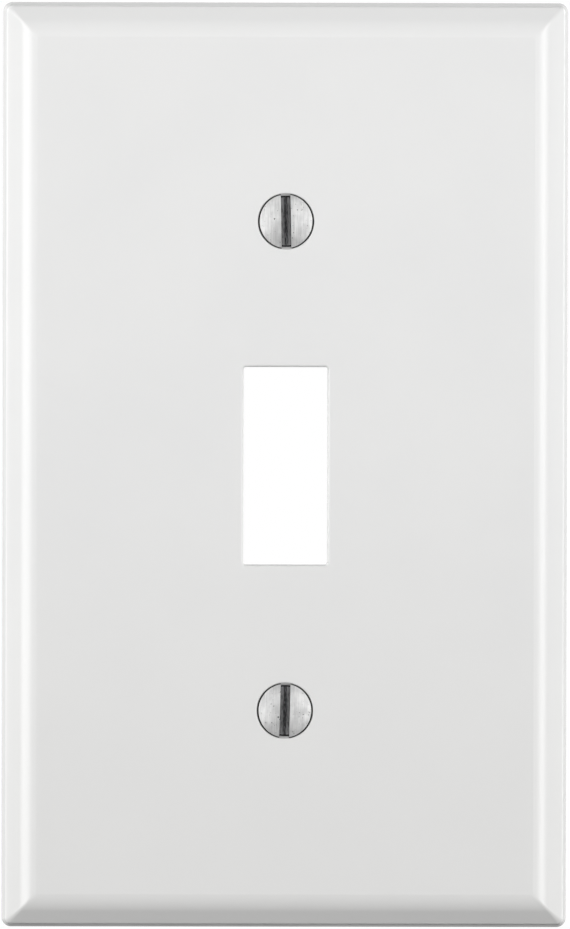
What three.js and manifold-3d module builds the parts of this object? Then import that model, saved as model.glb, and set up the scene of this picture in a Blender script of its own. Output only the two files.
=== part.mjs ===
// A one-gang wall plate for a toggle switch, with the two screws that hold it to the switch's strap.
// Millimetres, +Z up. The origin is the centre of the plate on the wall, and the front faces -Y.

import * as THREE from 'three';
import { mergeVertices } from 'three/addons/utils/BufferGeometryUtils.js';
import Module from 'manifold-3d';

const wasm = await Module();
wasm.setup();

const QUARTER_TURN = Math.PI / 2;

// The plate's outside. Depths are measured forwards from the wall.
const PLATE_WIDTH = 69.85;
const PLATE_HEIGHT = 114.3;
const PLATE_DEPTH = 5.6;
const OUTLINE_RADIUS = 1.2;

// The edge: a drafted side, a flat bevel, then an arc that meets the flat face.
const EDGE_WIDTH = 4.3;
const SIDE_DRAFT = 0.5;
const BEVEL_ANGLE = THREE.MathUtils.degToRad(40);
const BEVEL_ARC_RADIUS = 3.6;
const BEVEL_ARC_SPAN = BEVEL_ARC_RADIUS * Math.sin(BEVEL_ANGLE);
const BEVEL_ARC_DROP = BEVEL_ARC_RADIUS * (1 - Math.cos(BEVEL_ANGLE));
const BEVEL_FLAT_DROP = (EDGE_WIDTH - BEVEL_ARC_SPAN - SIDE_DRAFT) * Math.tan(BEVEL_ANGLE);
const SIDE_DEPTH = PLATE_DEPTH - BEVEL_ARC_DROP - BEVEL_FLAT_DROP;

// The hollow at the back.
const FACE_THICKNESS = 2.0;
const RIM_THICKNESS = 2.1;
const HOLLOW_DEPTH = PLATE_DEPTH - FACE_THICKNESS;
const HOLLOW_CHAMFER = 1.5;
const HOLLOW_RADIUS = 1.0;

// The toggle opening, with a rounded lip at the front and a collar at the back.
const OPENING_WIDTH = 10.36;
const OPENING_HEIGHT = 24.4;
const OPENING_LIP_RADIUS = 0.35;
const COLLAR_WALL = 1.6;
const COLLAR_RADIUS = 1.0;

// What stands on the hollow's floor: the collar, a pad round each screw and a rib between them, which all
// reach the front of the switch's strap.
const PAD_DEPTH = 1.6;
const PAD_RADIUS = 4.75;
const RIB_WIDTH = 1.6;

// The screws: 6-32, oval head, slotted.
const SCREW_SPACING = 60.325;
const SCREW_LENGTH = 12.7;
const THREAD_RADIUS = 1.75;
const THREAD_END_CHAMFER = 0.45;
const HEAD_RADIUS = 3.35;
const HEAD_CONE_TAN = Math.tan(THREE.MathUtils.degToRad(41));
const HEAD_CROWN = 0.9;
const SLOT_WIDTH = 1.2;
const SLOT_DEPTH_UNDER_RIM = 0.35;

// The screw holes in the plate.
const HOLE_RADIUS = 2.0;
const COUNTERSINK_RADIUS = 3.55;

// How far a cutting shape runs past the face that it cuts.
const PAST = 2;

const ARC_SEGMENTS = 6;
const ROUND_SEGMENTS = 48;

// ---- solids from geometries, and back ----

function toSolid(geometry) {
  geometry.deleteAttribute('normal');
  geometry.deleteAttribute('uv');
  const merged = mergeVertices(geometry);
  return new wasm.Manifold(new wasm.Mesh({
    numProp: 3,
    vertProperties: merged.attributes.position.array,
    triVerts: new Uint32Array(merged.index.array),
  }));
}

function toMesh(name, solid, material) {
  const { vertProperties, triVerts } = solid.getMesh();
  const geometry = new THREE.BufferGeometry();
  geometry.setAttribute('position', new THREE.BufferAttribute(vertProperties, 3));
  geometry.setIndex(new THREE.BufferAttribute(triVerts, 1));
  geometry.computeVertexNormals();
  const mesh = new THREE.Mesh(geometry, material);
  mesh.name = name;
  return mesh;
}

// ---- shapes ----

function roundedRectangle(width, height, radius) {
  const [x, y] = [width / 2 - radius, height / 2 - radius];
  const shape = new THREE.Shape();
  shape.absarc(x, y, radius, 0, QUARTER_TURN);
  shape.absarc(-x, y, radius, QUARTER_TURN, 2 * QUARTER_TURN);
  shape.absarc(-x, -y, radius, 2 * QUARTER_TURN, 3 * QUARTER_TURN);
  shape.absarc(x, -y, radius, 3 * QUARTER_TURN, 4 * QUARTER_TURN);
  return shape;
}

// An outline in X and Z, extruded forwards from one depth to another.
function forwards(shape, fromDepth, toDepth) {
  const options = { depth: toDepth - fromDepth, curveSegments: ARC_SEGMENTS, bevelEnabled: false };
  const geometry = new THREE.ExtrudeGeometry(shape, options);
  geometry.rotateX(QUARTER_TURN);
  geometry.translate(0, -fromDepth, 0);
  return toSolid(geometry);
}

// A section's bar along Z, and the same for X, crossed so that their edges meet in mitres.
function mitred(sectionOf, width, height) {
  const length = 2 * Math.max(width, height);
  const bar = (size) => {
    const options = { depth: length, curveSegments: ARC_SEGMENTS, bevelEnabled: false };
    const geometry = new THREE.ExtrudeGeometry(sectionOf(size / 2), options);
    geometry.translate(0, 0, -length / 2);
    geometry.rotateX(2 * QUARTER_TURN);
    return geometry;
  };
  return toSolid(bar(width)).intersect(toSolid(bar(height).rotateY(-QUARTER_TURN)));
}

// ---- the plate ----

// Half-width against depth, for the plate's outside.
function plateSection(half) {
  const arcCentre = half - EDGE_WIDTH;
  const arcDepth = PLATE_DEPTH - BEVEL_ARC_RADIUS;
  const shape = new THREE.Shape();
  shape.moveTo(-half, 0);
  shape.lineTo(half, 0);
  shape.lineTo(half - SIDE_DRAFT, SIDE_DEPTH);
  shape.absarc(arcCentre, arcDepth, BEVEL_ARC_RADIUS, QUARTER_TURN - BEVEL_ANGLE, QUARTER_TURN);
  shape.absarc(-arcCentre, arcDepth, BEVEL_ARC_RADIUS, QUARTER_TURN, QUARTER_TURN + BEVEL_ANGLE);
  shape.lineTo(SIDE_DRAFT - half, SIDE_DEPTH);
  return shape;
}

// Half-width against depth, for the toggle opening, which flares to its lip at the front face.
function openingSection(half) {
  const arcDepth = PLATE_DEPTH - OPENING_LIP_RADIUS;
  const lip = half + OPENING_LIP_RADIUS;
  const shape = new THREE.Shape();
  shape.moveTo(-half, -PAST);
  shape.lineTo(half, -PAST);
  shape.absarc(lip, arcDepth, OPENING_LIP_RADIUS, 2 * QUARTER_TURN, QUARTER_TURN, true);
  shape.lineTo(lip, PLATE_DEPTH + PAST);
  shape.lineTo(-lip, PLATE_DEPTH + PAST);
  shape.absarc(-lip, arcDepth, OPENING_LIP_RADIUS, QUARTER_TURN, 0, true);
  return shape;
}

function hollow() {
  const shape = roundedRectangle(
    PLATE_WIDTH - 2 * (RIM_THICKNESS + HOLLOW_CHAMFER),
    PLATE_HEIGHT - 2 * (RIM_THICKNESS + HOLLOW_CHAMFER),
    HOLLOW_RADIUS,
  );
  const geometry = new THREE.ExtrudeGeometry(shape, {
    depth: HOLLOW_DEPTH - HOLLOW_CHAMFER + PAST,
    curveSegments: ARC_SEGMENTS,
    bevelThickness: HOLLOW_CHAMFER,
    bevelSize: HOLLOW_CHAMFER,
    bevelSegments: 1,
  });
  geometry.rotateX(QUARTER_TURN);
  geometry.translate(0, PAST, 0);
  return toSolid(geometry);
}

function screwHole() {
  const coneEnd = PLATE_DEPTH - (COUNTERSINK_RADIUS - HOLE_RADIUS) / HEAD_CONE_TAN;
  const profile = [
    [0, -PLATE_DEPTH - PAST],
    [COUNTERSINK_RADIUS + PAST * HEAD_CONE_TAN, -PLATE_DEPTH - PAST],
    [HOLE_RADIUS, -coneEnd],
    [HOLE_RADIUS, PAST],
    [0, PAST],
  ];
  return toSolid(lathe(profile));
}

// The collar, the two pads and the rib that joins them, sunk into the middle of the face's thickness.
function standsAtTheBack() {
  const root = PLATE_DEPTH - FACE_THICKNESS / 2;
  const width = OPENING_WIDTH + 2 * COLLAR_WALL;
  const height = OPENING_HEIGHT + 2 * COLLAR_WALL;
  const length = root - PAD_DEPTH;
  const rib = new THREE.BoxGeometry(RIB_WIDTH, length, SCREW_SPACING);
  rib.translate(0, -(root + PAD_DEPTH) / 2, 0);
  let solid = forwards(roundedRectangle(width, height, COLLAR_RADIUS), PAD_DEPTH, root).add(toSolid(rib));
  for (const side of [1, -1]) {
    const pad = new THREE.CylinderGeometry(PAD_RADIUS, PAD_RADIUS, length, ROUND_SEGMENTS);
    pad.translate(0, -(root + PAD_DEPTH) / 2, side * SCREW_SPACING / 2);
    solid = solid.add(toSolid(pad));
  }
  return solid;
}

function wallPlate(material) {
  const outline = forwards(roundedRectangle(PLATE_WIDTH, PLATE_HEIGHT, OUTLINE_RADIUS), 0, PLATE_DEPTH);
  let solid = mitred(plateSection, PLATE_WIDTH, PLATE_HEIGHT)
    .intersect(outline)
    .subtract(hollow())
    .add(standsAtTheBack())
    .subtract(mitred(openingSection, OPENING_WIDTH, OPENING_HEIGHT));
  for (const side of [1, -1]) {
    solid = solid.subtract(screwHole().translate(0, 0, side * SCREW_SPACING / 2));
  }
  return toMesh('wall_plate', solid, material);
}

// ---- the screws ----

// A profile of [radius, y] points, turned about Y.
function lathe(profile) {
  return new THREE.LatheGeometry(profile.map(([r, y]) => new THREE.Vector2(r, y)), ROUND_SEGMENTS);
}

// The crown is part of a sphere that meets the head's rim.
function crownProfile() {
  const sphere = (HEAD_RADIUS ** 2 + HEAD_CROWN ** 2) / (2 * HEAD_CROWN);
  const sweep = Math.asin(HEAD_RADIUS / sphere);
  return Array.from({ length: ARC_SEGMENTS + 1 }, (_, i) => {
    const angle = sweep * i / ARC_SEGMENTS;
    return [sphere * Math.sin(angle), -HEAD_CROWN + sphere * (1 - Math.cos(angle))];
  });
}

// The screw lies along Y with its head's rim at y = 0.
function screw(name, material) {
  const coneLength = (HEAD_RADIUS - THREAD_RADIUS) / HEAD_CONE_TAN;
  const profile = [
    ...crownProfile(),
    [THREAD_RADIUS, coneLength],
    [THREAD_RADIUS, SCREW_LENGTH - THREAD_END_CHAMFER],
    [THREAD_RADIUS - THREAD_END_CHAMFER, SCREW_LENGTH],
    [0, SCREW_LENGTH],
  ];
  const slot = new THREE.BoxGeometry(SLOT_WIDTH, PAST + SLOT_DEPTH_UNDER_RIM, 2 * (HEAD_RADIUS + PAST));
  slot.translate(0, (SLOT_DEPTH_UNDER_RIM - PAST) / 2, 0);
  return toMesh(name, toSolid(lathe(profile)).subtract(toSolid(slot)), material);
}

// ---- the part ----

const plastic = new THREE.MeshStandardMaterial({ color: 0xe9e9e6, roughness: 0.22, metalness: 0 });
const part = new THREE.Group();
part.add(wallPlate(plastic));
for (const [name, side] of [['upper_screw', 1], ['lower_screw', -1]]) {
  const steel = new THREE.MeshStandardMaterial({ color: 0xcfcfcc, roughness: 0.35, metalness: 1 });
  const mesh = screw(name, steel);
  mesh.position.set(0, -PLATE_DEPTH, side * SCREW_SPACING / 2);
  part.add(mesh);
}

export default part;
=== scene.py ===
"""A one-gang toggle wall plate and its two screws: fine meshes, procedural materials, soft studio light."""

import math

import bmesh
import bpy
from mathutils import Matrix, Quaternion, Vector
from mathutils.geometry import tessellate_polygon


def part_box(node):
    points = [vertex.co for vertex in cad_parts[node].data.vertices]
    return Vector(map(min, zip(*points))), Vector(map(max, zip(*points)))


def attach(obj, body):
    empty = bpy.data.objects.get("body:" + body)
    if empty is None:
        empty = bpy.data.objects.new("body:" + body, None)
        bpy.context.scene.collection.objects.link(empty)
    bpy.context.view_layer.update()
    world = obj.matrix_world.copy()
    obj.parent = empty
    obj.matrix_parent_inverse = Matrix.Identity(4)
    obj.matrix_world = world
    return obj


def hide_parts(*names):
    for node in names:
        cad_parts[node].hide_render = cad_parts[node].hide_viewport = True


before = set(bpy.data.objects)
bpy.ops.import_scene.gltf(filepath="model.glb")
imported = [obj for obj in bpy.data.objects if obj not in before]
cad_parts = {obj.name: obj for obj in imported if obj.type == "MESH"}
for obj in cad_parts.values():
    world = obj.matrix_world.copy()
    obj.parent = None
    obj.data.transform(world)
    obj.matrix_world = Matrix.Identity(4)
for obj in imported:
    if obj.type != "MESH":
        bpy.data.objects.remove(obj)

MM = 0.001
TURN = 2 * math.pi
QUARTER = math.pi / 2
DEGREES = 360 / TURN

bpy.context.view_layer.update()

# Sizes in millimetres unless a comment says metres. The plate's depths are measured forwards from the wall.
PLATE_LOW, PLATE_HIGH = [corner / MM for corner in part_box("wall_plate")]
HALF_WIDTH = PLATE_HIGH.x
HALF_HEIGHT = PLATE_HIGH.z
FACE_DEPTH = -PLATE_LOW.y
SCREW_LOW, SCREW_HIGH = [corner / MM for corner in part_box("upper_screw")]
SCREW_HEIGHT = (SCREW_LOW.z + SCREW_HIGH.z) / 2
# Each screw's height, and its slot's lean in degrees.
SCREWS = {"upper_screw": (SCREW_HEIGHT, 1.2), "lower_screw": (-SCREW_HEIGHT, -1.5)}
HEAD_EXTRA_RADIUS = 0.1
HEAD_RADIUS = (SCREW_HIGH.x - SCREW_LOW.x) / 2 + HEAD_EXTRA_RADIUS
SCREW_LENGTH = SCREW_HIGH.y + FACE_DEPTH

# The plate's edge. Its corners are round at the outline and grow sharp over the first CORNER_FADE inwards.
OUTLINE_RADIUS = 1.2
FACE_CORNER_RADIUS = 0.3
CORNER_FADE = 1.6
EDGE_WIDTH = 4.3
BEVEL_ARC_RADIUS = 4.2
# The arc starts at this slope, so the flat face ends in a crisp crest.
CREST_ANGLE = math.radians(7)
BEVEL_ANGLE = math.radians(40)
SIDE_DRAFT = 0.5
SIDE_CORNER_RADIUS = 0.7
RIM_CORNER_RADIUS = 0.25

# The hollow, the toggle opening and what stands at the back.
FACE_THICKNESS = 2.0
HOLLOW_DEPTH = FACE_DEPTH - FACE_THICKNESS
RIM_THICKNESS = 2.1
HOLLOW_CHAMFER = 1.5
HOLLOW_FILLET = 1.0
HOLLOW_DRAFT = 0.05
HOLLOW_CORNER_RADIUS = 1.6
OPENING_HALF_WIDTH = 5.18
OPENING_HALF_HEIGHT = 12.2
OPENING_CORNER_RADIUS = 0.3
OPENING_LIP_RADIUS = 0.35
OPENING_DRAFT = 0.04
COLLAR_WALL = 1.6
COLLAR_RADIUS = 1.0
PAD_DEPTH = 1.6
PAD_RADIUS = 4.75
RIB_HALF_WIDTH = 0.8
RIB_FILLET = 1.5
ISLAND_DRAFT = 0.04
EDGE_ROUNDING = 0.25
ROOT_FILLET = 0.5

# The marks that the mould's ejector pins leave on the hollow's floor.
EJECTOR_RADIUS = 2.2
EJECTOR_MARK_DEPTH = 0.12
EJECTOR_DRAFT = 0.05
EJECTOR_ROUNDING = 0.04
EJECTOR_PLACES = [(x, z) for x in (-24, 24) for z in (-44, 0, 44)]

# The screw holes.
HOLE_RADIUS = 2.0
COUNTERSINK_RADIUS = 3.52
COUNTERSINK_ROUNDING = 0.14
CONE_TAN = math.tan(math.radians(41))

# The screws: a domed head with a milled slot, a cone, a neck and a 6-32 thread.
CROWN = 0.6
RIM_ROUNDING = 0.1
CROWN_RADIUS = HEAD_RADIUS - RIM_ROUNDING
ROW_CROWDING = 0.8
SLOT_HALF_WIDTH = 0.6
SLOT_FLOOR = 0.35
SLOT_FILLET = 0.16
SLOT_EDGE = 0.05
THREAD_MAJOR = 1.745
THREAD_DEPTH = 0.45
THREAD_PITCH = 0.794
THREAD_CREST, THREAD_ROOT = 0.125, 0.25
NECK_RADIUS = 1.5
NECK_END = 2.7
THREAD_FADE = 0.7
TIP_RADIUS = 1.25
# Points nearer than TINY are one point, and a point within SLACK of the slot counts as in it.
TINY = 1e-4
SLACK = 0.01

# Plastic: the colours of its clouds, of the warm tint and of the painted shade in the countersinks, round
# each screw head. The warm tint starts at one height and is full at another below it.
PLASTIC_DIM, PLASTIC_BRIGHT = (0.752, 0.753, 0.750, 1), (0.766, 0.766, 0.761, 1)
PLASTIC_WARM = (0.766, 0.763, 0.751, 1)
WARM_FROM, WARM_TO = 10.0, -45.0
# Painted shade: a near-black colour on the countersink's wall in the narrow gap round each screw head.
GAP_SHADE_COLOUR = (0.03, 0.03, 0.028, 1)
GAP_SHADE_STRENGTH = 0.25
GAP_SHADE_RADII = (3.44, 3.52)
# How far behind the face the painted shade starts, is full, starts to fade and ends.
GAP_SHADE_START, GAP_SHADE_FULL, GAP_SHADE_FADE, GAP_SHADE_END = 0.0, 0.06, 1.0, 2.0
PLASTIC_BUMP = 0.004

# Steel: each screw's seed, and its pits as (across the slot, along it, radius) in millimetres.
STEEL_MARKS = {
    "upper_screw": (3.0, [(0.72, -2.05, 0.09)]),
    "lower_screw": (11.0, [(-0.80, -0.80, 0.15), (-0.62, 2.3, 0.08)]),
}
STEEL_DIM, STEEL_BRIGHT = (0.55, 0.55, 0.55, 1), (0.74, 0.74, 0.735, 1)
PIT_COLOUR = (0.06, 0.06, 0.06, 1)
# Residue and painted shade in the slot: its floor, a darker middle groove and the walls' feet.
SLOT_SHADE_COLOUR, SLOT_GROOVE_SHADE_COLOUR = (0.33, 0.33, 0.335, 1), (0.09, 0.09, 0.095, 1)
SLOT_FOOT_SHADE_COLOUR = (0.08, 0.08, 0.08, 1)
SCORE_BRIGHT, SCORE_DARK = (0.42, 0.42, 0.42, 1), (0.05, 0.05, 0.05, 1)
# Painted shade in the thread's roots.
THREAD_ROOT_SHADE_COLOUR = (0.07, 0.07, 0.072, 1)
# Painted shade: a near-black colour on the head's rolled edge, on the cone under it and at the slot's ends,
# for the shade in the gap round the head.
RIM_SHADE_COLOUR = (0.012, 0.012, 0.012, 1)
# The radius where the painted shade on the head's edge starts, and how much less it is straight across the
# slot.
EDGE_SHADE_BAND = 3.31
EDGE_SHADE_SQUEEZE = 0.06
STEEL_BUMP = 0.012

# The camera, with its distance, clipping and view in metres, and the floor, in millimetres.
CAMERA_DISTANCE = 2.0
CAMERA_SENSOR = 36
CAMERA_RIGHT, CAMERA_UP = math.radians(-1.0), math.radians(1.5)
CAMERA_ROLL = math.radians(0.14)
CAMERA_CLIP = (0.01, 20)
VIEW_HEIGHT = 0.11449
VIEW_CENTRE = (-0.00006, 0.0002)
FLOOR_HEIGHT = -75
FLOOR_HALF_SIZE = 280
FLOOR_CORNER_RADIUS = 20
FLOOR_DIM, FLOOR_BRIGHT = (0.80, 0.80, 0.79, 1), (0.84, 0.84, 0.83, 1)

# The world's light. WORLD_BASE comes from everywhere. Each light is in degrees from straight ahead of the
# plate: its side, where it starts, is full, starts to fade and ends going sideways, the same four going up,
# and its radiance. A light that goes round to BEHIND doesn't end.
WORLD_BASE = 0.08
BEHIND = 180
WORLD_LIGHTS = [
    ("left", 5, 10, 70, 84, -26, -12, 20, 40, 0.98),
    ("left", 28, 44, 62, 74, -26, -12, 20, 40, 3.3),
    ("right", 5, 10, 66, 84, -26, -12, 20, 40, 1.36),
    ("right", 28, 44, 52, 66, -26, -12, 20, 40, 3.25),
    ("both", 76, 92, 112, 135, -12, 6, 24, 48, 4.0),
    ("both", 112, 135, BEHIND, BEHIND, -40, 5, 10, 60, 0.7),
]
# A faint light straight ahead, with where it starts to fade and ends sideways, and the four going up.
FRONT_LIGHT = 0.1
FRONT_FADE, FRONT_UP = (6, 14), (-14, -4, 24, 45)
# The key's place, aim and size, in metres.
KEY_PLACE, KEY_AIM = (0.0, -0.8, 0.3), (0.0, 0.0, 0.03)
KEY_POWER, KEY_SIZE, KEY_HALF_ANGLE = 1.8, 0.28, math.radians(7.5)

CORNER_POINTS = 8
ROUND_POINTS = 96
FILLET_POINTS = 5
CREST_POINTS = 12
LIP_POINTS = 8
EJECTOR_POINTS = 48
DOME_STATIONS = 22
SLOT_EDGE_STEPS, SLOT_WALL_STEPS, SLOT_FILLET_STEPS = 4, 6, 6
SLOT_ROWS = 40
RIM_POINTS = 6
CONE_ROWS = 6
THREAD_ROWS_A_TURN = 14


# ---- outlines in X and Z, as lists of points, all anticlockwise as seen from the front ----

def arc(x, z, radius, start, sweep, points=CORNER_POINTS):
    steps = [start + sweep * i / points for i in range(points + 1)]
    return [(x + radius * math.cos(a), z + radius * math.sin(a)) for a in steps]


def rectangle(half_width, half_height, radius):
    x, z = half_width - radius, half_height - radius
    corners = [(x, z), (-x, z), (-x, -z), (x, -z)]
    return [p for i, (cx, cz) in enumerate(corners) for p in arc(cx, cz, radius, i * QUARTER, QUARTER)]


def circle(x, z, radius, points=ROUND_POINTS):
    return arc(x, z, radius, 0, TURN, points)[:-1]


def island(grow):
    """The collar, the two pads and the ribs between, as one outline that can grow or shrink."""
    collar_x = OPENING_HALF_WIDTH + COLLAR_WALL - COLLAR_RADIUS
    collar_z = OPENING_HALF_HEIGHT + COLLAR_WALL - COLLAR_RADIUS
    fillet_x = RIB_HALF_WIDTH + RIB_FILLET
    low_z = collar_z + COLLAR_RADIUS + RIB_FILLET
    drop = math.sqrt((PAD_RADIUS + RIB_FILLET) ** 2 - fillet_x ** 2)
    high_z = SCREW_HEIGHT - drop
    lean = math.atan2(drop, fillet_x)
    convex, concave = COLLAR_RADIUS + grow, RIB_FILLET - grow
    right = [
        *arc(collar_x, collar_z, convex, 0, QUARTER),
        *arc(fillet_x, low_z, concave, 3 * QUARTER, -QUARTER),
        *arc(fillet_x, high_z, concave, 2 * QUARTER, -lean),
        *arc(0, SCREW_HEIGHT, PAD_RADIUS + grow, -lean, lean + QUARTER, ROUND_POINTS // 2)[1:],
    ]
    left = [(-x, z) for x, z in reversed(right[:-1])]
    upper = right + left
    return upper + [(-x, -z) for x, z in upper]


# ---- sections, as lists of points with corners rounded ----

def rounded(corners, radii, points=FILLET_POINTS):
    """The line through the corners, with an arc of each inner corner's radius."""
    line = [corners[0]]
    for before, corner, after, radius in zip(corners, corners[1:], corners[2:], radii):
        here = Vector(corner)
        back, on = (Vector(before) - here).normalized(), (Vector(after) - here).normalized()
        half = back.angle(on) / 2
        centre = here + (back + on).normalized() * radius / math.sin(half)
        start = here + back * radius / math.tan(half) - centre
        end = here + on * radius / math.tan(half) - centre
        spread = start.angle(end)
        for i in range(points + 1):
            a, b = math.sin(spread * (1 - i / points)), math.sin(spread * i / points)
            line.append(tuple(centre + (start * a + end * b) / math.sin(spread)))
    return line + [corners[-1]]


# ---- mesh building ----

def ring(bm, outline, depth):
    return [bm.verts.new((x * MM, -depth * MM, z * MM)) for x, z in outline]


def loft(bm, rings):
    for one, two in zip(rings, rings[1:]):
        for i in range(len(one)):
            j = (i + 1) % len(one)
            bm.faces.new((one[i], one[j], two[j], two[i]))


def fill(bm, loops):
    """A flat face inside the first loop and outside the others."""
    verts = [v for loop in loops for v in loop]
    for corners in tessellate_polygon([[v.co for v in loop] for loop in loops]):
        bm.faces.new([verts[i] for i in corners])


def keep_crisp(bm, loop):
    """Marks the edges along a closed loop as sharp for the shading."""
    for one, two in zip(loop, loop[1:] + loop[:1]):
        bm.edges.get((one, two)).smooth = False


def finish_mesh(bm, name, material):
    bmesh.ops.recalc_face_normals(bm, faces=bm.faces)
    mesh = bpy.data.meshes.new(name)
    bm.to_mesh(mesh)
    bm.free()
    mesh.shade_smooth()
    mesh.materials.append(material)
    piece = bpy.data.objects.new(name, mesh)
    bpy.context.scene.collection.objects.link(piece)
    return piece


# ---- the plate ----

def plate_ring(bm, inset, depth, radius):
    return ring(bm, rectangle(HALF_WIDTH - inset, HALF_HEIGHT - inset, radius), depth)


def outside_rings(bm):
    """From the flat face, over the bevel and down the side, to the middle of the back rim."""
    crest = []
    for i in range(CREST_POINTS + 1):
        slope = CREST_ANGLE + (BEVEL_ANGLE - CREST_ANGLE) * i / CREST_POINTS
        inset = EDGE_WIDTH - BEVEL_ARC_RADIUS * (math.sin(slope) - math.sin(CREST_ANGLE))
        crest.append((inset, FACE_DEPTH - BEVEL_ARC_RADIUS * (math.cos(CREST_ANGLE) - math.cos(slope))))
    arc_end, arc_depth = crest[-1]
    side_depth = arc_depth - (arc_end - SIDE_DRAFT) * math.tan(BEVEL_ANGLE)
    corners = [crest[-1], (SIDE_DRAFT, side_depth), (0, 0), (RIM_THICKNESS / 2, 0)]
    section = crest[:-1] + rounded(corners, [SIDE_CORNER_RADIUS, RIM_CORNER_RADIUS], 2 * FILLET_POINTS)
    rings = []
    for inset, depth in section:
        rounder = (1 - min(inset / CORNER_FADE, 1)) ** 2
        corner_radius = FACE_CORNER_RADIUS + (OUTLINE_RADIUS - FACE_CORNER_RADIUS) * rounder
        rings.append(plate_ring(bm, inset, depth, corner_radius))
    return rings


def hollow_rings(bm):
    """From the back rim's inner edge down to the hollow's floor."""
    floor = RIM_THICKNESS + HOLLOW_CHAMFER
    corners = [
        (RIM_THICKNESS - 2 * EDGE_ROUNDING, 0),
        (RIM_THICKNESS, 0),
        (RIM_THICKNESS + HOLLOW_DRAFT, HOLLOW_DEPTH - HOLLOW_CHAMFER),
        (floor, HOLLOW_DEPTH),
        (floor + HOLLOW_FILLET, HOLLOW_DEPTH),
    ]
    section = rounded(corners, [EDGE_ROUNDING, HOLLOW_FILLET, HOLLOW_FILLET])
    return [plate_ring(bm, inset, depth, HOLLOW_CORNER_RADIUS) for inset, depth in section]


def opening_rings(bm):
    """From the opening's lip on the face to the collar's end."""
    face_end, collar_end = 2 * OPENING_LIP_RADIUS, 0.55
    corners = [(face_end, FACE_DEPTH), (0, FACE_DEPTH), (OPENING_DRAFT, PAD_DEPTH), (collar_end, PAD_DEPTH)]
    section = rounded(corners, [OPENING_LIP_RADIUS, EDGE_ROUNDING], LIP_POINTS)
    rings = []
    for out, depth in section:
        half_width, half_height = OPENING_HALF_WIDTH + out, OPENING_HALF_HEIGHT + out
        rings.append(ring(bm, rectangle(half_width, half_height, OPENING_CORNER_RADIUS + out), depth))
    return rings


def hole_rings(bm, z):
    """From a countersink's mouth to the back of its pad."""
    cone_end = FACE_DEPTH - (COUNTERSINK_RADIUS - HOLE_RADIUS) / CONE_TAN
    corners = [
        (COUNTERSINK_RADIUS + 0.4, FACE_DEPTH),
        (COUNTERSINK_RADIUS, FACE_DEPTH),
        (HOLE_RADIUS, cone_end),
        (HOLE_RADIUS, PAD_DEPTH),
        (HOLE_RADIUS + 0.5, PAD_DEPTH),
    ]
    section = rounded(corners, [COUNTERSINK_ROUNDING, COUNTERSINK_ROUNDING, EDGE_ROUNDING])
    return [ring(bm, circle(0, z, radius), depth) for radius, depth in section]


def island_rings(bm):
    """From the top of what stands at the back down to the hollow's floor."""
    top, foot = -0.4, 0.9
    corners = [(top, PAD_DEPTH), (0, PAD_DEPTH), (ISLAND_DRAFT, HOLLOW_DEPTH), (foot, HOLLOW_DEPTH)]
    return [ring(bm, island(out), depth) for out, depth in rounded(corners, [EDGE_ROUNDING, ROOT_FILLET])]


def ejector_rings(bm, x, z):
    bottom = HOLLOW_DEPTH + EJECTOR_MARK_DEPTH
    corners = [
        (EJECTOR_RADIUS + 0.3, HOLLOW_DEPTH),
        (EJECTOR_RADIUS, HOLLOW_DEPTH),
        (EJECTOR_RADIUS - EJECTOR_DRAFT, bottom),
        (EJECTOR_RADIUS - 0.4, bottom),
    ]
    section = rounded(corners, [EJECTOR_ROUNDING, EJECTOR_ROUNDING], 2)
    return [ring(bm, circle(x, z, radius, EJECTOR_POINTS), depth) for radius, depth in section]


def make_plate(material):
    bm = bmesh.new()
    outside, hollow, opening, pads = outside_rings(bm), hollow_rings(bm), opening_rings(bm), island_rings(bm)
    holes = [hole_rings(bm, z) for z in (SCREW_HEIGHT, -SCREW_HEIGHT)]
    marks = [ejector_rings(bm, x, z) for x, z in EJECTOR_PLACES]
    loft(bm, outside + hollow)
    for rings in (opening, pads, *holes, *marks):
        loft(bm, rings)
    fill(bm, [outside[0], opening[0], *[rings[0] for rings in holes]])
    keep_crisp(bm, outside[0])
    fill(bm, [pads[0], opening[-1], *[rings[-1] for rings in holes]])
    fill(bm, [hollow[-1], pads[-1], *[rings[0] for rings in marks]])
    for rings in marks:
        fill(bm, [rings[-1]])
    piece = finish_mesh(bm, "moulded_plate", material)
    normals = piece.modifiers.new("flat_faces_stay_flat", "WEIGHTED_NORMAL")
    normals.keep_sharp = True
    return piece


# ---- the screws, made with the head's rim at depth 0 and depth running to the tip ----

def dome(radius):
    """Depth of the crown's surface at a radius: negative, because it stands out."""
    sphere = (HEAD_RADIUS ** 2 + CROWN ** 2) / (2 * CROWN)
    return sphere - CROWN - math.sqrt(sphere ** 2 - radius ** 2)


def smooth(low, high, value):
    t = min(max((value - low) / (high - low), 0), 1)
    return t * t * (3 - 2 * t)


def thread_radius(depth, angle):
    """The right-hand thread, growing out of the neck and cut back by the chamfer at the tip."""
    phase = (depth / THREAD_PITCH - angle / TURN) % 1
    off_crest = abs(2 * phase - 1)
    down = min(max((off_crest - THREAD_CREST) / (1 - THREAD_CREST - THREAD_ROOT), 0), 1)
    threaded = THREAD_MAJOR - THREAD_DEPTH * down
    radius = NECK_RADIUS + (threaded - NECK_RADIUS) * smooth(NECK_END - THREAD_FADE, NECK_END, depth)
    return min(radius, TIP_RADIUS + SCREW_LENGTH - depth)


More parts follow.
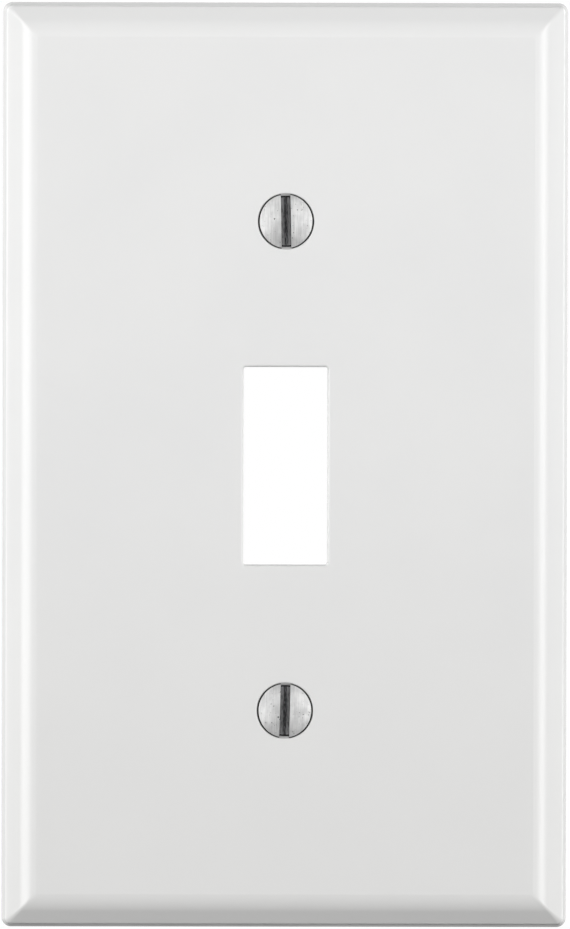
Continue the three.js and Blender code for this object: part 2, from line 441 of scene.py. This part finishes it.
def slot_section():
    """Half of the slot's cross-section, from its rounded edge down the wall to the middle of the floor.
    Each point is (x, share of the way down from the dome to the floor, drop in millimetres)."""
    edge = [(SLOT_HALF_WIDTH + SLOT_EDGE * (1 - math.sin(a)), 0, SLOT_EDGE * (1 - math.cos(a)))
            for a in (QUARTER * i / SLOT_EDGE_STEPS for i in range(SLOT_EDGE_STEPS + 1))]
    wall = [(SLOT_HALF_WIDTH, i / SLOT_WALL_STEPS, SLOT_EDGE * (1 - i / SLOT_WALL_STEPS))
            for i in range(1, SLOT_WALL_STEPS)]
    fillet = [(SLOT_HALF_WIDTH - SLOT_FILLET * (1 - math.cos(a)), 1, -SLOT_FILLET * (1 - math.sin(a)))
              for a in (QUARTER * i / SLOT_FILLET_STEPS for i in range(SLOT_FILLET_STEPS + 1))]
    floor = [(x * (SLOT_HALF_WIDTH - SLOT_FILLET), 1, 0) for x in (0.6, 0.2)]
    return edge + wall + fillet + floor


def head_rows():
    """The top of the head in rows that run along the slot: each is a list of (x, depth, z)."""
    start = math.acos((SLOT_HALF_WIDTH + SLOT_EDGE) / CROWN_RADIUS)
    angles = [start * (i / DOME_STATIONS) ** ROW_CROWDING for i in range(1, DOME_STATIONS)]
    stations = [(CROWN_RADIUS * math.cos(a), 0, 0) for a in angles] + slot_section()
    stations += [(-x, share, drop) for x, share, drop in reversed(stations)]
    floor_edge = HEAD_RADIUS - SLOT_FLOOR * CONE_TAN
    rows = []
    for x, share, drop in stations:
        reach = CROWN_RADIUS + (floor_edge - CROWN_RADIUS) * share
        end = math.sqrt(reach ** 2 - x ** 2)
        row = []
        for i in range(SLOT_ROWS + 1):
            z = end * math.sin(QUARTER * (2 * i / SLOT_ROWS - 1))
            above = dome(min(math.hypot(x, z), CROWN_RADIUS))
            row.append((x, above + (SLOT_FLOOR - above) * share + drop, z))
        rows.append(row)
    return rows


def head_top(bm):
    """Builds the head's top, and returns its edge as a ring of vertices."""
    rows = [[bm.verts.new(point) for point in row] for row in head_rows()]
    poles = [bm.verts.new((side * CROWN_RADIUS, dome(CROWN_RADIUS), 0)) for side in (1, -1)]
    for one, two in zip(rows, rows[1:]):
        for i in range(SLOT_ROWS):
            bm.faces.new((one[i], one[i + 1], two[i + 1], two[i]))
    for pole, row in zip(poles, (rows[0], rows[-1])):
        for i in range(SLOT_ROWS):
            bm.faces.new((pole, row[i], row[i + 1]))
    return [poles[0], *[row[-1] for row in rows], poles[1], *[row[0] for row in reversed(rows)]]


def ring_vertex(bm, above, radius, depth):
    """A vertex under one on the head's edge, but never above it on the cone."""
    angle = math.atan2(above.co.x, above.co.z)
    if above.co.y > depth:
        depth = above.co.y
        radius = min(radius, HEAD_RADIUS - depth * CONE_TAN)
    return bm.verts.new((radius * math.sin(angle), depth, radius * math.cos(angle)))


def head_side_rings(bm, edge, neck_start):
    """From the rolled edge down the cone to the neck."""
    corners = [(CROWN_RADIUS, dome(CROWN_RADIUS)), (HEAD_RADIUS, 0), (NECK_RADIUS, neck_start)]
    rim = rounded(corners, [RIM_ROUNDING / 2], RIM_POINTS)
    rings = [[ring_vertex(bm, v, radius, max(depth, 0)) for v in edge] for radius, depth in rim[1:-1]]
    for i in range(1, CONE_ROWS + 1):
        depth = SLOT_FLOOR + (neck_start - SLOT_FLOOR) * i / CONE_ROWS
        rings.append([ring_vertex(bm, v, HEAD_RADIUS - depth * CONE_TAN, depth) for v in edge])
    return rings


def shank_rings(bm, edge, neck_start):
    """From the neck down the thread to the tip."""
    angles = [math.atan2(v.co.x, v.co.z) for v in edge]
    count = round((SCREW_LENGTH - neck_start) / THREAD_PITCH * THREAD_ROWS_A_TURN)
    rings = []
    for i in range(1, count + 1):
        depth = neck_start + (SCREW_LENGTH - neck_start) * i / count
        radii = [thread_radius(depth, a) for a in angles]
        rings.append([bm.verts.new((r * math.sin(a), depth, r * math.cos(a))) for r, a in zip(radii, angles)])
    return rings


def slot_share(point):
    """How far down the slot a point is: 0 on the dome and outside the slot, 1 on the slot's floor."""
    if abs(point.x) > SLOT_HALF_WIDTH + SLACK or point.y > SLOT_FLOOR + SLACK:
        return 0.0
    top = dome(min(math.hypot(point.x, point.z), CROWN_RADIUS))
    return min(max((point.y - top - SLOT_EDGE) / (SLOT_FLOOR - top - SLOT_EDGE), 0), 1)


def turn_about_y(bm, angle):
    sine, cosine = math.sin(angle), math.cos(angle)
    for v in bm.verts:
        x, z = v.co.x, v.co.z
        v.co.x, v.co.z = x * cosine - z * sine, x * sine + z * cosine


def make_screw(name, place, lean, steel):
    """One screw. Its vertices keep their place in the upright screw, and their share of the slot's depth."""
    bm = bmesh.new()
    edge = head_top(bm)
    neck_start = (HEAD_RADIUS - NECK_RADIUS) / CONE_TAN
    rings = [edge, *head_side_rings(bm, edge, neck_start), *shank_rings(bm, edge, neck_start)]
    loft(bm, rings)
    fill(bm, [rings[-1]])
    keep_crisp(bm, rings[-1])
    bmesh.ops.remove_doubles(bm, verts=bm.verts, dist=TINY)
    bmesh.ops.dissolve_degenerate(bm, edges=bm.edges, dist=TINY)

    place_layer = bm.verts.layers.float_vector.new("place")
    slot_layer = bm.verts.layers.float.new("slot")
    for v in bm.verts:
        v[place_layer] = v.co
        v[slot_layer] = slot_share(v.co)
        v.co = Vector((v.co.x, v.co.y - FACE_DEPTH, v.co.z)) * MM
    turn_about_y(bm, math.radians(lean))
    bmesh.ops.translate(bm, verts=bm.verts, vec=(0, 0, place * MM))
    return finish_mesh(bm, name + "_fine", steel)


# ---- materials ----

class Nodes:
    """Short names for building a node tree."""

    # A mix node has a set of sockets for each kind of value. These are the ones for colours.
    COLOUR_ONE, COLOUR_TWO, COLOUR_RESULT = 6, 7, 2

    def __init__(self, tree):
        self.tree = tree

    def add(self, kind, **settings):
        node = self.tree.nodes.new(kind)
        for name, value in settings.items():
            setattr(node, name, value)
        return node

    def wire(self, value, socket):
        if isinstance(value, bpy.types.NodeSocket):
            self.tree.links.new(value, socket)
        else:
            socket.default_value = value

    def math(self, operation, *values):
        node = self.add("ShaderNodeMath", operation=operation)
        for value, socket in zip(values, node.inputs):
            self.wire(value, socket)
        return node.outputs[0]

    def vector(self, operation, *values):
        node = self.add("ShaderNodeVectorMath", operation=operation)
        for value, socket in zip(values, node.inputs):
            self.wire(value, socket)
        return node.outputs["Value"] if operation == "LENGTH" else node.outputs["Vector"]

    def split(self, vector):
        node = self.add("ShaderNodeSeparateXYZ")
        self.wire(vector, node.inputs[0])
        return node.outputs

    def join(self, x, y, z):
        node = self.add("ShaderNodeCombineXYZ")
        for value, socket in zip((x, y, z), node.inputs):
            self.wire(value, socket)
        return node.outputs[0]

    def ramp(self, value, low, high, to_low=0.0, to_high=1.0):
        node = self.add("ShaderNodeMapRange", interpolation_type="SMOOTHSTEP")
        for socket, number in zip(node.inputs, (value, low, high, to_low, to_high)):
            self.wire(number, socket)
        return node.outputs[0]

    def noise(self, vector, scale, detail, roughness=0.5):
        node = self.add("ShaderNodeTexNoise")
        self.wire(vector, node.inputs["Vector"])
        self.wire(scale, node.inputs["Scale"])
        self.wire(detail, node.inputs["Detail"])
        self.wire(roughness, node.inputs["Roughness"])
        return node.outputs["Fac"]

    def mix(self, share, one, two):
        node = self.add("ShaderNodeMix", data_type="RGBA")
        self.wire(share, node.inputs["Factor"])
        self.wire(one, node.inputs[self.COLOUR_ONE])
        self.wire(two, node.inputs[self.COLOUR_TWO])
        return node.outputs[self.COLOUR_RESULT]

    def bump(self, height, distance):
        node = self.add("ShaderNodeBump")
        self.wire(1.0, node.inputs["Strength"])
        self.wire(distance, node.inputs["Distance"])
        self.wire(height, node.inputs["Height"])
        return node.outputs[0]


def principled(name, **values):
    material = bpy.data.materials.new(name)
    material.use_nodes = True
    shader = material.node_tree.nodes["Principled BSDF"]
    for socket, value in values.items():
        shader.inputs[socket.replace("_", " ")].default_value = value
    return material, Nodes(material.node_tree), shader.inputs


def plastic_material():
    """Gloss white moulding: a faint ripple in the polish, rougher behind, and painted shade in the
    countersinks round the screw heads.
    """
    material, nodes, shader = principled("gloss_white_plastic", IOR=1.5)
    place = nodes.vector("SCALE", nodes.add("ShaderNodeTexCoord").outputs["Object"])
    place.node.inputs["Scale"].default_value = 1 / MM
    x, y, z = nodes.split(place)
    facing = nodes.split(nodes.add("ShaderNodeNewGeometry").outputs["Normal"])[1]
    behind = nodes.ramp(facing, 0.0, 0.35)

    # Painted shade: the countersink's wall is darkened in a ring just outside each screw head, from the face
    # a little way back.
    from_screw = nodes.math("SUBTRACT", nodes.math("ABSOLUTE", z), SCREW_HEIGHT)
    radius = nodes.vector("LENGTH", nodes.join(x, from_screw, 0.0))
    entry = nodes.ramp(y, -FACE_DEPTH + GAP_SHADE_START, -FACE_DEPTH + GAP_SHADE_FULL)
    gap_shade = nodes.math("MULTIPLY", nodes.ramp(radius, *GAP_SHADE_RADII, 1.0, 0.0), entry)
    fade = nodes.ramp(y, -FACE_DEPTH + GAP_SHADE_FADE, -FACE_DEPTH + GAP_SHADE_END, 1.0, 0.0)
    gap_shade = nodes.math("MULTIPLY", nodes.math("MULTIPLY", gap_shade, fade), GAP_SHADE_STRENGTH)

    clouds = nodes.noise(place, 0.06, 3.0)
    white = nodes.mix(nodes.ramp(clouds, 0.3, 0.7), PLASTIC_DIM, PLASTIC_BRIGHT)
    warm = nodes.mix(nodes.ramp(z, WARM_FROM, WARM_TO), white, nodes.mix(0.5, white, PLASTIC_WARM))
    nodes.wire(nodes.mix(gap_shade, warm, GAP_SHADE_COLOUR), shader["Base Color"])

    smear = nodes.noise(place, 0.25, 4.0)
    polish = nodes.ramp(smear, 0.3, 0.7, 0.13, 0.19)
    nodes.wire(nodes.math("ADD", polish, nodes.math("MULTIPLY", behind, 0.28)), shader["Roughness"])
    ripple = nodes.noise(place, 0.9, 2.0)
    grain = nodes.math("MULTIPLY", nodes.noise(place, 9.0, 2.0), behind)
    height = nodes.math("ADD", nodes.math("MULTIPLY", ripple, 0.25), grain)
    nodes.wire(nodes.bump(height, PLASTIC_BUMP * MM), shader["Normal"])
    return material


def slot_shade_and_scores(nodes, seeded, off_centre):
    """The slot's floor and walls: some residue and painted shade, darkest in a groove in the middle and at
    the walls' feet, with scores along them.
    """
    groove_shade = nodes.ramp(off_centre, 0.16, 0.26, 1.0, 0.0)
    foot = nodes.ramp(off_centre, SLOT_HALF_WIDTH - 0.1, SLOT_HALF_WIDTH - 0.03)
    colour = nodes.mix(groove_shade, SLOT_SHADE_COLOUR, SLOT_GROOVE_SHADE_COLOUR)
    colour = nodes.mix(foot, colour, SLOT_FOOT_SHADE_COLOUR)
    scored = nodes.noise(nodes.vector("MULTIPLY", seeded, (9.0, 1.0, 1.6)), 1.0, 3.0, 0.6)
    colour = nodes.mix(nodes.ramp(scored, 0.42, 0.66, 0.0, 0.55), colour, SCORE_BRIGHT)
    return nodes.mix(nodes.ramp(scored, 0.48, 0.32, 0.0, 0.6), colour, SCORE_DARK)


def painted_rim_shade(nodes, off_centre, radius, depth, in_slot, deep):
    """Painted shade: 1 on the rolled edge, on the cone under it and at the slot's ends, and 0 on the rest of
    the head.
    """
    sideways = nodes.math("DIVIDE", off_centre, radius)
    band = nodes.math("SUBTRACT", EDGE_SHADE_BAND, nodes.math("MULTIPLY", sideways, EDGE_SHADE_SQUEEZE))
    edge = nodes.ramp(nodes.math("SUBTRACT", radius, band), -0.03, 0.03)
    edge = nodes.math("MULTIPLY", edge, nodes.ramp(in_slot, 0.05, 0.4, 1.0, 0.0))
    slot_end = nodes.math("MULTIPLY", deep, nodes.ramp(radius, 2.94, 3.0))
    under = nodes.math("MULTIPLY", nodes.ramp(depth, 0.02, 0.08), nodes.ramp(in_slot, 0.0, 0.05, 1.0, 0.0))
    rim = nodes.math("MAXIMUM", slot_end, nodes.math("MAXIMUM", edge, under))
    return nodes.math("MULTIPLY", rim, nodes.ramp(depth, 1.9, 1.2))


def thread_root_shade(nodes, radius, depth):
    """Painted shade: most in the thread's root, and nothing on its crest, on the neck or at the tip."""
    root = nodes.ramp(radius, 1.34, 1.66, 0.85, 0.0)
    root = nodes.math("MULTIPLY", root, nodes.ramp(depth, NECK_END - THREAD_FADE, NECK_END))
    return nodes.math("MULTIPLY", root, nodes.ramp(depth, SCREW_LENGTH - 0.5, SCREW_LENGTH - 0.3, 1.0, 0.0))


def steel_material(name, seed, pits):
    """Brushed steel: streaks along the slot, painted shade on the rim and in the thread's roots, residue and
    painted shade in the slot, and small pits.
    """
    material, nodes, shader = principled(name, IOR=1.06)
    place = nodes.add("ShaderNodeAttribute", attribute_name="place").outputs["Vector"]
    in_slot = nodes.add("ShaderNodeAttribute", attribute_name="slot").outputs["Fac"]
    across, depth, along = nodes.split(place)
    off_centre = nodes.math("ABSOLUTE", across)
    radius = nodes.vector("LENGTH", nodes.join(across, along, 0.0))
    seeded = nodes.vector("ADD", place, (seed, seed, seed))

    streaks = nodes.noise(nodes.vector("MULTIPLY", seeded, (7.0, 1.0, 0.35)), 1.0, 4.0, 0.6)
    hairs = nodes.noise(nodes.vector("MULTIPLY", seeded, (26.0, 2.0, 0.9)), 1.0, 3.0, 0.6)
    clouds = nodes.noise(seeded, 0.8, 3.0)
    tone = nodes.math("ADD", nodes.math("MULTIPLY", streaks, 0.5), nodes.math("MULTIPLY", clouds, 0.5))
    bright = nodes.mix(nodes.ramp(tone, 0.35, 0.65), STEEL_DIM, STEEL_BRIGHT)
    specks = nodes.ramp(nodes.noise(seeded, 4.2, 1.0), 0.70, 0.76)
    for u, w, size in pits:
        gap = nodes.vector("LENGTH", nodes.vector("SUBTRACT", nodes.join(across, along, 0.0), (u, w, 0.0)))
        specks = nodes.math("MAXIMUM", specks, nodes.ramp(gap, size, size * 0.5))
    specks = nodes.math("MULTIPLY", specks, nodes.ramp(depth, 0.0, -0.1))
    bright = nodes.mix(nodes.math("MULTIPLY", specks, 0.75), bright, PIT_COLOUR)

    # Residue and painted shade, deeper in the slot.
    deep = nodes.ramp(in_slot, 0.1, 0.5)
    coloured = nodes.mix(deep, bright, slot_shade_and_scores(nodes, seeded, off_centre))
    # Painted shade in the thread's roots.
    root = thread_root_shade(nodes, radius, depth)
    coloured = nodes.mix(root, coloured, THREAD_ROOT_SHADE_COLOUR)
    # Painted shade on the rim: near black and not metal there.
    rim = painted_rim_shade(nodes, off_centre, radius, depth, in_slot, deep)
    nodes.wire(nodes.mix(rim, coloured, RIM_SHADE_COLOUR), shader["Base Color"])
    nodes.wire(nodes.math("SUBTRACT", 1.0, rim), shader["Metallic"])

    rough = nodes.ramp(hairs, 0.3, 0.7, 0.54, 0.68)
    rougher = nodes.math("MULTIPLY", nodes.math("MAXIMUM", rim, deep), 0.2)
    nodes.wire(nodes.math("ADD", rough, rougher), shader["Roughness"])
    height = nodes.math("ADD", nodes.math("MULTIPLY", hairs, 0.6), streaks)
    height = nodes.math("SUBTRACT", height, nodes.math("MULTIPLY", specks, 2.0))
    nodes.wire(nodes.bump(height, STEEL_BUMP * MM), shader["Normal"])
    return material


def floor_material():
    material, nodes, shader = principled("pale_floor", Roughness=0.6)
    grain = nodes.noise(nodes.add("ShaderNodeTexCoord").outputs["Object"], 60.0, 3.0)
    nodes.wire(nodes.mix(grain, FLOOR_DIM, FLOOR_BRIGHT), shader["Base Color"])
    return material


# ---- the stage ----

def make_camera():
    camera = bpy.data.objects.new("camera", bpy.data.cameras.new("camera"))
    bpy.context.scene.collection.objects.link(camera)
    camera.data.sensor_width = CAMERA_SENSOR
    camera.data.lens = CAMERA_SENSOR * CAMERA_DISTANCE / VIEW_HEIGHT
    away = Vector((math.sin(CAMERA_RIGHT), -math.cos(CAMERA_RIGHT), math.tan(CAMERA_UP))).normalized()
    camera.location = Vector((VIEW_CENTRE[0], -FACE_DEPTH * MM, VIEW_CENTRE[1])) + away * CAMERA_DISTANCE
    look = away.to_track_quat("Z", "Y")
    camera.rotation_euler = (look @ Quaternion((0, 0, 1), CAMERA_ROLL)).to_euler()
    camera.data.clip_start, camera.data.clip_end = CAMERA_CLIP
    bpy.context.scene.camera = camera


def make_floor():
    bm = bmesh.new()
    outline = rectangle(FLOOR_HALF_SIZE, FLOOR_HALF_SIZE, FLOOR_CORNER_RADIUS)
    fill(bm, [[bm.verts.new((x * MM, y * MM, 0)) for x, y in outline]])
    floor = finish_mesh(bm, "floor", floor_material())
    floor.location = (0, 0, FLOOR_HEIGHT * MM)
    floor.visible_diffuse = False
    floor.visible_glossy = False


def share_of_height(nodes, up, start, start_full, end_full, end):
    rising, falling = nodes.ramp(up, start, start_full), nodes.ramp(up, end_full, end, 1.0, 0.0)
    return nodes.math("MULTIPLY", rising, falling)


def make_world():
    """White to the camera. To the surfaces, soft walls of light beside and behind the plate, dark below."""
    world = bpy.data.worlds.new("studio")
    bpy.context.scene.world = world
    world.use_nodes = True
    nodes = Nodes(world.node_tree)
    x, y, z = nodes.split(nodes.add("ShaderNodeTexCoord").outputs["Generated"])
    right = nodes.math("MULTIPLY", nodes.math("ARCTAN2", x, nodes.math("MULTIPLY", y, -1.0)), DEGREES)
    up = nodes.math("MULTIPLY", nodes.math("ARCSINE", z), DEGREES)
    left = nodes.math("MULTIPLY", right, -1.0)
    turned = {"left": left, "right": right, "both": nodes.math("ABSOLUTE", right)}
    ahead = nodes.ramp(turned["both"], *FRONT_FADE, 1.0, 0.0)
    ahead = nodes.math("MULTIPLY", ahead, share_of_height(nodes, up, *FRONT_UP))
    total = nodes.math("ADD", WORLD_BASE, nodes.math("MULTIPLY", ahead, FRONT_LIGHT))
    for side, start, start_full, end_full, end, *heights, radiance in WORLD_LIGHTS:
        share = nodes.ramp(turned[side], start, start_full)
        if end_full < BEHIND:
            share = nodes.math("MULTIPLY", share, nodes.ramp(turned[side], end_full, end, 1.0, 0.0))
        share = nodes.math("MULTIPLY", share, share_of_height(nodes, up, *heights))
        total = nodes.math("ADD", total, nodes.math("MULTIPLY", share, radiance))
    seen = nodes.add("ShaderNodeLightPath").outputs["Is Camera Ray"]
    background = world.node_tree.nodes["Background"].inputs
    background["Strength"].default_value = 1
    nodes.wire(nodes.mix(seen, nodes.join(total, total, total), (1, 1, 1, 1)), background["Color"])


def make_key():
    """A soft spot from in front and above, that fades towards the plate's foot."""
    light = bpy.data.lights.new("key", "SPOT")
    light.energy = KEY_POWER
    light.shadow_soft_size = KEY_SIZE
    light.spot_size = 2 * KEY_HALF_ANGLE
    light.spot_blend = 1
    key = bpy.data.objects.new("key", light)
    bpy.context.scene.collection.objects.link(key)
    key.location = KEY_PLACE
    key.rotation_euler = (Vector(KEY_PLACE) - Vector(KEY_AIM)).to_track_quat("Z", "Y").to_euler()
    key.visible_camera = False


def main():
    plate = make_plate(plastic_material())
    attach(plate, "plate")
    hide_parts("wall_plate")
    for name, (place, lean) in SCREWS.items():
        screw = make_screw(name, place, lean, steel_material("brushed_" + name, *STEEL_MARKS[name]))
        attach(screw, name)
        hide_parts(name)
    make_camera()
    make_floor()
    make_world()
    make_key()
    bpy.context.scene.view_settings.view_transform = "Standard"


main()
